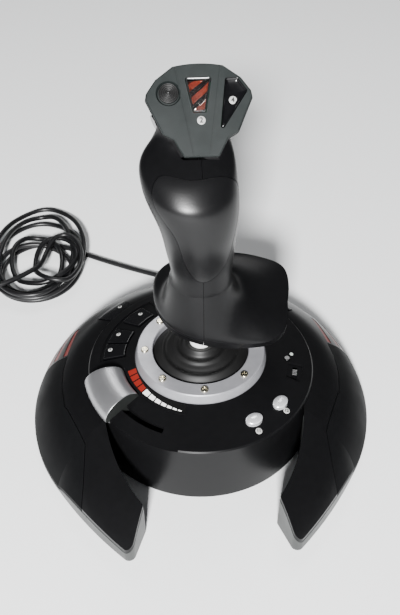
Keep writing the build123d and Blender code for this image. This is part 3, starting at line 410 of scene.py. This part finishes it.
add_material(plastic, "rubber_black", (0.0045, 0.0045, 0.0045), 0.50, 0.0004, 0.00002, gloss=0.3)
add_material(plastic, "cord_black", (0.0035, 0.0035, 0.004), 0.38, 0.0004, 0.000015, gloss=0.35)
add_material(brushed, "screw_steel", (0.62, 0.58, 0.46), 0.24, (1, 1, 1))
add_material(brushed, "spring_steel", (0.55, 0.55, 0.54), 0.25, (1, 1, 8))
add_material(plastic, "board_green", (0.02, 0.12, 0.05), 0.35, 0.001, 0.00002)
add_material(plastic, "inner_plastic", (0.010, 0.010, 0.011), 0.5)
add_material(brushed, "usb_metal", (0.66, 0.66, 0.66), 0.22, (8, 1, 1))
add_material(plastic, "light_lens", (0.30, 0.33, 0.30), 0.25, depth=0)


def paint(obj, slot):
    obj.data.materials.clear()
    obj.data.materials.append(MATERIALS[slot])


# Painted shade: a darker colour is mixed into the lever's end faces in place of the shade they fall in.
LEVER_END = radians(LEVER_AZ[1])
add_painted_end_shade(MATERIALS["silver_paint"], (-sin(LEVER_END), cos(LEVER_END), 0), (0.06, 0.065, 0.062))

for part in frame["record"]["subparts"]:
    paint(NODES[part["node"]], part["material_slot"])
for node in DULL_PIECES:
    paint(NODES[node], "deck_black")
paint(NODES["throttle_scale"], "film_black")
paint(cord, "cord_black")
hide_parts("cord_lead", "cord_coil", "cord_tail")
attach(cord, "base")


def mesh_piece(name, points, faces, slot, body=None, smooth=False):
    mesh = bpy.data.meshes.new(name)
    mesh.from_pydata([tuple(p) for p in points], [], faces)
    mesh.update()
    mesh.polygons.foreach_set("use_smooth", [smooth] * len(mesh.polygons))
    obj = bpy.data.objects.new(name, mesh)
    bpy.context.scene.collection.objects.link(obj)
    paint(obj, slot)
    if body:
        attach(obj, body)
    return obj


def bridge(rows, closed_ends=True):
    """Quads between rings of points, each ring with the same count; the two end rings can be closed."""
    count = len(rows[0])
    faces = []
    for r in range(len(rows) - 1):
        for k in range(count):
            after = (k + 1) % count
            faces.append((r * count + k, r * count + after, (r + 1) * count + after, (r + 1) * count + k))
    if closed_ends:
        faces.append(tuple(reversed(range(count))))
        faces.append(tuple(range((len(rows) - 1) * count, len(rows) * count)))
    return faces


def lathe(name, profile, slot, body=None, place=Matrix.Identity(4), sides=128, closed_ends=False):
    """A profile of radius and height turned about an axis."""
    turns = [2 * pi * k / sides for k in range(sides)]
    rows = []
    for radius, height in profile:
        rows.append([(radius * cos(turn), radius * sin(turn), height) for turn in turns])
    points = [place @ Vector(p) for row in rows for p in row]
    return mesh_piece(name, points, bridge(rows, closed_ends), slot, body, smooth=True)


def rounded_profile(points, rounds=3):
    """Cuts the corners of a profile again and again, so that it runs smoothly."""
    for _ in range(rounds):
        finer = [points[0]]
        for (r0, z0), (r1, z1) in zip(points, points[1:]):
            finer.append((0.75 * r0 + 0.25 * r1, 0.75 * z0 + 0.25 * z1))
            finer.append((0.25 * r0 + 0.75 * r1, 0.25 * z0 + 0.75 * z1))
        finer.append(points[-1])
        points = finer
    return points


def face_place(u, v, height=0.0):
    """A frame on the head: x to the right, y up the face, z out of it. Sizes in millimetres."""
    at = FACE_ORIGIN + Vector((u * MM, 0, 0)) + FACE_UP * (v * MM) + FACE_NORMAL * (height * MM)
    return Matrix((
        (1, 0, 0, at.x),
        (0, FACE_UP.y, FACE_NORMAL.y, at.y),
        (0, FACE_UP.z, FACE_NORMAL.z, at.z),
        (0, 0, 0, 1),
    ))


def polar(r, az):
    """A place on the base, by its distance from the stick's axis (mm) and its angle."""
    return r * MM * cos(radians(az)), r * MM * sin(radians(az))


def on_node(node, x, y):
    """Where a vertical line first meets a CAD node from above, with the surface's own direction there."""
    hit, point, normal, _ = NODES[node].ray_cast(Vector((x, y, 0.4)), Vector((0, 0, -1)))
    if not hit:
        raise ValueError(node + " isn't under that point")
    return point, normal


def standing_on(node, x, y, lift=0.0, turn=0.0):
    point, normal = on_node(node, x, y)
    z = normal.normalized()
    right = Vector((cos(turn), sin(turn), 0))
    right = (right - z * right.dot(z)).normalized()
    up = z.cross(right)
    at = point + z * lift
    return Matrix((
        (right.x, up.x, z.x, at.x), (right.y, up.y, z.y, at.y), (right.z, up.z, z.z, at.z), (0, 0, 0, 1),
    ))


def in_metres(profile):
    return [(r * MM, z * MM) for r, z in profile]


def quarter(steps):
    """The cosine and sine of each step of a quarter turn, without its start."""
    return [(cos(k / steps * pi / 2), sin(k / steps * pi / 2)) for k in range(1, steps + 1)]


def digits(name, text, size, place, slot, body):
    data = bpy.data.curves.new(name, "FONT")
    data.body = text
    data.size = size
    data.extrude = 0.04 * MM
    data.offset = 0.11 * MM
    data.align_x = "CENTER"
    data.align_y = "CENTER"
    text_obj = bpy.data.objects.new(name + "_text", data)
    bpy.context.scene.collection.objects.link(text_obj)
    bpy.context.view_layer.update()
    mesh = bpy.data.meshes.new_from_object(text_obj)
    bpy.data.objects.remove(text_obj)
    mesh.transform(place)
    mesh.name = name
    obj = bpy.data.objects.new(name, mesh)
    bpy.context.scene.collection.objects.link(obj)
    paint(obj, slot)
    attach(obj, body)
    return obj


def number_disc(name, text, radius, place, body):
    """A raised disc with a number printed on it."""
    profile = ((0, 0), (radius, 0), (radius, DISC_EDGE), (radius - 0.12, DISC_T), (0, DISC_T))
    lathe(name + "_disc", in_metres(profile), "disc_print", body, place, sides=48)
    size = radius * (1.75 if len(text) == 1 else 1.35) * MM
    on_top = place @ Matrix.Translation((0, 0, (DISC_T - 0.01) * MM))
    digits(name + "_digits", text, size, on_top, "dark_print", body)


# ---------------- boot ----------------
# Each ring's top surface, out from the stick's axis and up (mm).
BOOT_OUT = ((30.9, 53.2), (29.9, 54.2), (28.2, 55.4), (26.2, 57.3), (25.0, 58.1), (23.8, 57.9), (22.8, 57.2),
            (21.6, 57.3), (20.2, 58.1), (19.0, 58.6))
BOOT_IN = ((19.0, 58.6), (18.0, 59.0), (17.0, 59.9), (16.1, 60.6), (15.1, 60.5), (14.2, 60.0), (13.0, 60.1),
           (12.0, 60.8), (11.2, 62.2), (10.4, 63.5), (9.5, 64.0), (8.6, 63.7), (7.05, 63.6))
BOOT_T = 0.001


def boot_ring(name, node, profile):
    """One ring of pleats, lathed as a thin shell under its top surface, whose radii and heights are given in
    mm.
    """
    upper = rounded_profile(in_metres(profile), 3)
    lower = [(r, z - BOOT_T) for r, z in reversed(upper)]
    ring = lathe(name, upper + lower + [upper[0]], "rubber_black", sides=160)
    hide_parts(node)
    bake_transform(ring)


boot_ring("boot_skirt", "boot_lower", BOOT_OUT)
boot_ring("boot_neck", "boot_upper", BOOT_IN)


# ---------------- head: hat, window, teardrop, numbers ----------------
def ridged_hat():
    """A low dome of concentric steps, each with a rounded rim and a groove behind it."""
    radius = HAT_R
    height = 0.3
    profile = [(0.0, -height), (radius, -height), (radius, height)]
    for _ in range(HAT_STEPS):
        profile += [
            (radius, height + 0.38), (radius - 0.12, height + 0.60), (radius - 0.36, height + 0.66),
            (radius - 0.56, height + 0.50), (radius - 0.64, height + 0.10),
        ]
        radius -= HAT_STEP_IN
        height += HAT_STEP_UP
        profile.append((radius, height - 0.36))
    profile += [(0.85, height + 0.30), (0.6, height + 0.52), (0.0, height + 0.58)]
    hat = lathe("hat_dome", in_metres(profile), "rubber_black", "hat", face_place(*HAT_AT), 96)
    stem = ((0.0, -5.2), (HAT_STEM_R, -5.2), (HAT_STEM_R, -0.2), (0.0, -0.2))
    lathe("hat_stem", in_metres(stem), "black_plastic", "hat", face_place(*HAT_AT), 32)
    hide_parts("hat_cap")


def round_outline(points, radius, steps=6):
    """The outline of a polygon with its corners rounded."""
    outline = []
    count = len(points)
    for i in range(count):
        here = Vector(points[i])
        before = (Vector(points[i - 1]) - here).normalized()
        after = (Vector(points[(i + 1) % count]) - here).normalized()
        half = before.angle(after) / 2
        reach = radius / np.tan(half)
        centre = here + (before + after).normalized() * (radius / sin(half))
        start = here + before * reach - centre
        end = here + after * reach - centre
        sweep = start.angle_signed(end)
        for k in range(steps + 1):
            turned = Matrix.Rotation(-sweep * k / steps, 2) @ start
            outline.append(centre + turned)
    return outline


def pillow(name, outline, steps, slot, body):
    """A key top: the outline shrinks towards its middle while its height follows the steps."""
    middle = sum(outline, Vector((0, 0))) / len(outline)
    rows = []
    for scale, height in steps:
        drawn_in = [middle + (p - middle) * scale for p in outline]
        rows.append([face_place(*p, height).translation for p in drawn_in])
    points = [p for row in rows for p in row]
    return mesh_piece(name, points, bridge(rows), slot, body, smooth=True)


def add_window():
    """A clear lens with a short straight side and a crowned top."""
    steps = [(1.0, -0.85), (1.0, 0.55), (0.975, 1.0)]
    steps += [(0.975 * across + 0.004, 1.0 + 1.3 * up) for across, up in quarter(8)]
    lens = pillow("window_dome", round_outline(WINDOW, 0.9), steps, "clear_lens", "button_2")
    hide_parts("window_lens")


def add_teardrop():
    """A button with a raised rim and a hollow inside it."""
    steps = [(1.0, -5.8), (1.0, 0.35), (0.99, 0.66), (0.965, 0.80), (0.93, 0.70)]
    steps += [(0.93 * across + 0.004, 0.70 - 1.3 * down) for across, down in quarter(8)]
    drop = pillow("button_scoop", round_outline(TEAR, 0.8, 8), steps, "gloss_black", "button_4")
    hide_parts("button_4")


def add_ovals():
    """Domed caps over the two oval buttons."""
    profile = [(0.0, 0.0), (1.0, 0.0), (1.0, 1.0 * MM)]
    profile += [(across, (1.0 + 1.7 * up) * MM) for across, up in quarter(10)]
    for node, r, az in OVALS:
        place = standing_on(node, *polar(r, az), lift=-1.5 * MM, turn=radians(az + 90))
        oval = place @ Matrix.Diagonal((OVAL_A * MM, OVAL_B * MM, 1, 1))
        lathe(node + "_dome", profile, "oval_silver", node, oval, sides=64)


ridged_hat()
add_window()
add_teardrop()
number_disc("head_two", "2", 2.2, face_place(0.6, 19.2, 0.0), "grip")
number_disc("head_four", "4", 2.1, face_place(17.6, 29.4, -0.45), "button_4")


# ---------------- base: printed scale and numbers ----------------
SCALE_FROM = 193.5
SCALE_RED_TO = 218.0
SCALE_TO = 253.7
SCALE_OUT = 48.6
SCALE_IN = 43.3
SCALE_TAPER = 4.9
SCALE_GAP = 1.1
SCALE_REDS = 4
SCALE_WHITES = 7
SCALE_FIRST_WHITE = 6.4
SCALE_SHRINK = 0.45


def scale_inner(az):
    share = (az - SCALE_FROM) / (SCALE_TO - SCALE_FROM)
    return SCALE_IN + SCALE_TAPER * share ** 1.2


def scale_mark(name, az0, az1, slot):
    steps = 6
    rows = []
    for k in range(steps + 1):
        az = az0 + (az1 - az0) * k / steps
        inner = scale_inner(az)
        ring = []
        for r, drop in ((inner, 0.1), (SCALE_OUT, 0.1), (SCALE_OUT, -0.05), (inner, -0.05)):
            point, normal = on_node("throttle_scale", *polar(r, az))
            ring.append(point - normal * (drop * MM))
        rows.append(ring)
    mesh_piece(name, [p for row in rows for p in row], bridge(rows), slot, "base")


def add_scale():
    """Red bars of one size, then white bars that grow shorter and thinner."""
    red = (SCALE_RED_TO - SCALE_FROM) / SCALE_REDS
    for k in range(SCALE_REDS):
        start = SCALE_FROM + k * red
        scale_mark("scale_red_%d" % (k + 1), start, start + red - SCALE_GAP, "red_print")
    start = SCALE_RED_TO
    step = SCALE_FIRST_WHITE
    for k in range(SCALE_WHITES):
        end = min(start + step, SCALE_TO)
        scale_mark("scale_white_%d" % (k + 1), start, end - SCALE_GAP, "white_print")
        start = end
        step -= SCALE_SHRINK


KEY_NUMBERS = (
    ("five", "5", "key_a", 60.0, 169.7), ("six", "6", "key_b", 59.0, 155.5),
    ("seven", "7", "key_c", 58.0, 132.0), ("eight", "8", "key_d", 81.0, 131.6),
    ("nine", "9", "key_e", 58.0, 48.0), ("ten", "10", "key_f", 81.0, 48.4),
)
DECK_NUMBERS = (("eleven", "11", 68.0, 297.0), ("twelve", "12", 68.0, 317.0))
KEY_DISC_R = 1.5
DECK_DISC_R = 2.0


def add_numbers():
    for name, text, node, r, az in KEY_NUMBERS:
        place = standing_on(node, *polar(r, az), lift=-DISC_SUNK * MM)
        number_disc("key_" + name, text, KEY_DISC_R, place, node)
    for name, text, r, az in DECK_NUMBERS:
        place = standing_on("base_top", *polar(r, az), lift=-DISC_SUNK * MM)
        number_disc("deck_" + name, text, DECK_DISC_R, place, "base")


def cut_corners(outline, share):
    """One round of cutting the corners of a closed outline."""
    finer = []
    for i, here in enumerate(outline):
        after = outline[(i + 1) % len(outline)]
        finer.append(here.lerp(after, share))
        finer.append(here.lerp(after, 1 - share))
    return finer


def lever_stops():
    """The angles of the lever's sections, each with its size. It is drawn in a little at both ends."""
    first, last = LEVER_AZ
    bevel = 0.8
    inner = last - first - 2 * bevel
    stops = [(first, 0.965), (first + 0.25, 0.985), (first + bevel, 1.0)]
    stops += [(first + bevel + inner * k / 12, 1.0) for k in range(1, 13)]
    return [*stops, (last - 0.25, 0.985), (last, 0.965)]


def add_lever():
    """The throttle's shell: one rounded section swept about the stick."""
    outline = [Vector(p) for p in LEVER_SECTION]
    for _ in range(2):
        outline = cut_corners(outline, 0.22)
    middle = sum(outline, Vector((0, 0))) / len(outline)
    rows = []
    for az, scale in lever_stops():
        section = [middle + (point - middle) * scale for point in outline]
        rows.append([Vector((*polar(r, az), z * MM)) for r, z in section])
    faces = [tuple(reversed(f)) for f in bridge(rows)]
    points = [p for row in rows for p in row]
    lever = mesh_piece("lever_shell", points, faces, "silver_paint", "throttle", smooth=True)
    for cap in sorted(lever.data.polygons, key=lambda f: len(f.vertices))[-2:]:
        cap.use_smooth = False
    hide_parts("throttle_lever")


add_lever()
add_scale()
add_numbers()
add_ovals()


# ---------------- cord: strain relief, plug ----------------
def relief_radius(k):
    """The relief narrows away from the base, with grooves round its middle."""
    grooved = k % 5 in (2, 3) and 2 < k < RELIEF_RINGS - 3
    groove = RELIEF_GROOVE * MM if grooved else 0.0
    return (RELIEF_R - RELIEF_TAPER * k / (RELIEF_RINGS - 1)) * MM - groove


def strain_relief(line):
    reach = reach_along(line)

    def at(s):
        return Vector([float(np.interp(s, reach, line[:, axis])) for axis in range(3)])

    points = []
    for k in range(RELIEF_RINGS):
        s = RELIEF_LENGTH * k / (RELIEF_RINGS - 1)
        middle = at(s)
        forward = (at(s + 0.0005) - middle).normalized()
        side = forward.cross(Vector((0, 0, 1))).normalized()
        up = side.cross(forward)
        radius = relief_radius(k)
        for j in range(RELIEF_SIDES):
            turn = 2 * pi * j / RELIEF_SIDES
            points.append(middle + side * radius * cos(turn) + up * radius * sin(turn))
    rows = [points[k:k + RELIEF_SIDES] for k in range(0, len(points), RELIEF_SIDES)]
    return mesh_piece("cord_relief", points, bridge(rows), "cord_black", "base", smooth=True)


relief = strain_relief(cord_line)


# ---------------- stage ----------------
def add_floor():
    mesh = bpy.data.meshes.new("floor")
    half = 3.0
    corners = [(-half, -half, 0), (half, -half, 0), (half, half, 0), (-half, half, 0)]
    mesh.from_pydata(corners, [], [(0, 1, 2, 3)])
    floor = bpy.data.objects.new("floor", mesh)
    bpy.context.scene.collection.objects.link(floor)
    material, _ = shader_of("floor_paper", (0.86, 0.87, 0.87), 0.7)
    floor.data.materials.append(material)


def add_light(name, at, aim, size, watts):
    data = bpy.data.lights.new(name, "AREA")
    data.shape = "SQUARE"
    data.size = size
    data.energy = watts
    light = bpy.data.objects.new(name, data)
    bpy.context.scene.collection.objects.link(light)
    light.location = at
    light.rotation_euler = (Vector(aim) - Vector(at)).to_track_quat("-Z", "Y").to_euler()


def add_world(strength):
    world = bpy.data.worlds.new("soft_room")
    bpy.context.scene.world = world
    world.use_nodes = True
    background = world.node_tree.nodes["Background"]
    background.inputs["Color"].default_value = (0.93, 0.95, 1.0, 1.0)
    background.inputs["Strength"].default_value = strength


add_floor()
add_light("key_light", (-0.27, -1.61, 1.12), (0, 0, 0.06), 0.26, 170.0)
add_light("fill_light", (0.2, 2.2, 2.6), (0, 0.2, 0.0), 1.2, 34.0)
add_world(0.10)
